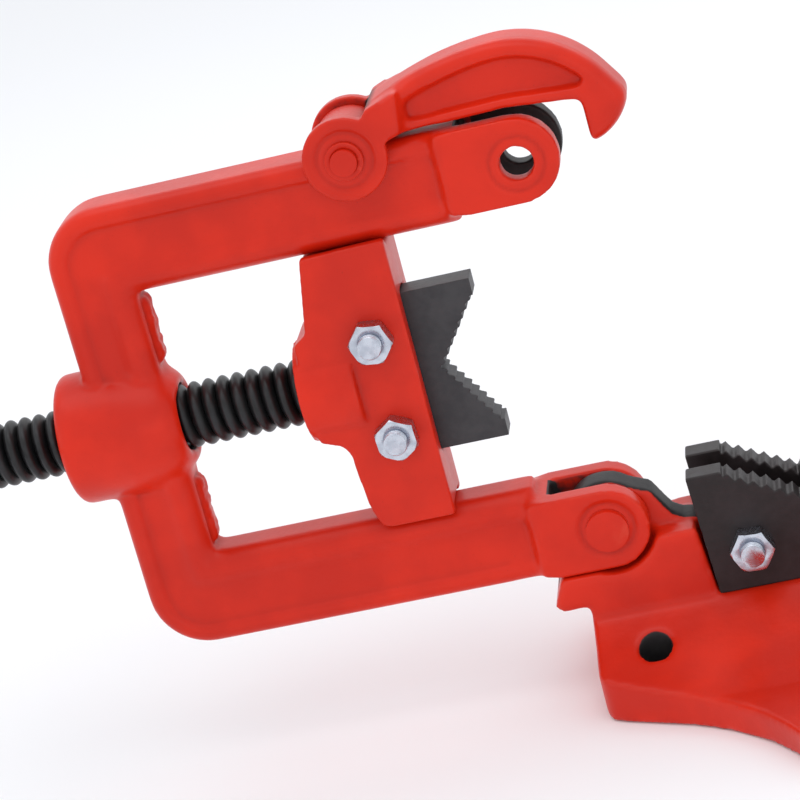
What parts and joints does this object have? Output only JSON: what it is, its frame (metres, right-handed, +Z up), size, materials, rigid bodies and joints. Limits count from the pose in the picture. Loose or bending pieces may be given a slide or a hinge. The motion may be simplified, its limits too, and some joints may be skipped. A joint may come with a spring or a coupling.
{
  "type": "hinged yoke pipe vise",
  "caption": "Bench pipe vise: cast base with a V jaw, hinged yoke shown swung open, hook latch, and a screw-driven upper V jaw with a sliding handle bar.",
  "frame": {"origin": "on the bench, under the middle of the lower jaws, at the centre of the foot's four end holes", "axes": "+Z up, away from the bench; +X from the yoke's hinge towards the catch; -Y towards the user's front; the pipe lies along Y"},
  "size_m": [0.4805, 0.253, 0.2843],
  "materials": {
    "cast_red": "glossy red enamel over cast iron",
    "pin_red": "red enamel over a turned pin",
    "upper_jaw_steel": "dark grey phosphated steel",
    "lower_jaw_steel": "near-black hardened steel",
    "screw_black": "satin black oxide",
    "zinc": "bright zinc plate",
    "handle_steel": "satin black oxide bar"
  },
  "bodies": {
    "base": {"base_casting": "cast_red", "lower_jaw_front": "lower_jaw_steel", "lower_jaw_rear": "lower_jaw_steel", "plate_left_bolt": "zinc", "plate_left_nut": "zinc", "plate_right_bolt": "zinc", "plate_right_nut": "zinc", "hinge_pin": "pin_red", "hinge_washer": "pin_red", "hinge_cotter": "zinc"},
    "yoke": {"yoke_casting": "cast_red", "latch_pin": "pin_red", "latch_collar_front": "pin_red", "latch_collar_rear": "pin_red"},
    "latch": {"latch_hook": "cast_red"},
    "jaw_carrier": {"jaw_holder": "cast_red", "upper_jaw": "upper_jaw_steel", "holder_upper_bolt": "zinc", "holder_upper_nut": "zinc", "holder_lower_bolt": "zinc", "holder_lower_nut": "zinc", "retaining_pin_upper": "pin_red", "retaining_pin_lower": "pin_red"},
    "screw": {"feed_screw": "screw_black"},
    "handle": {"handle_bar": "handle_steel", "handle_knob_front": "handle_steel", "handle_knob_rear": "handle_steel"}
  },
  "joints": [
    {"name": "yoke_hinge", "type": "hinge", "parent": "base", "child": "yoke", "pos_m": [-0.0815, 0, 0.072], "axis": [0, 1, 0], "range_deg": [0, 90]},
    {"name": "latch_pivot", "type": "hinge", "parent": "yoke", "child": "latch", "pos_m": [-0.1485, 0, 0.2525], "axis": [0, -1, 0], "range_deg": [-2, 118]},
    {"name": "jaw_travel", "type": "slide", "parent": "yoke", "child": "jaw_carrier", "axis": [1, 0, 0], "range_m": [-0.051, 0.0415]},
    {"name": "screw_turn", "type": "hinge", "parent": "jaw_carrier", "child": "screw", "pos_m": [-0.2, 0, 0.1535], "axis": [1, 0, 0], "range_deg": [-2950, 2400]},
    {"name": "handle_slide", "type": "slide", "parent": "screw", "child": "handle", "axis": [0, 1, 0], "range_m": [-0.075, 0.075]}
  ],
  "couplings": [
    {"joint": "screw_turn", "follows": "jaw_travel", "rad_per_m": 989.48}
  ]
}
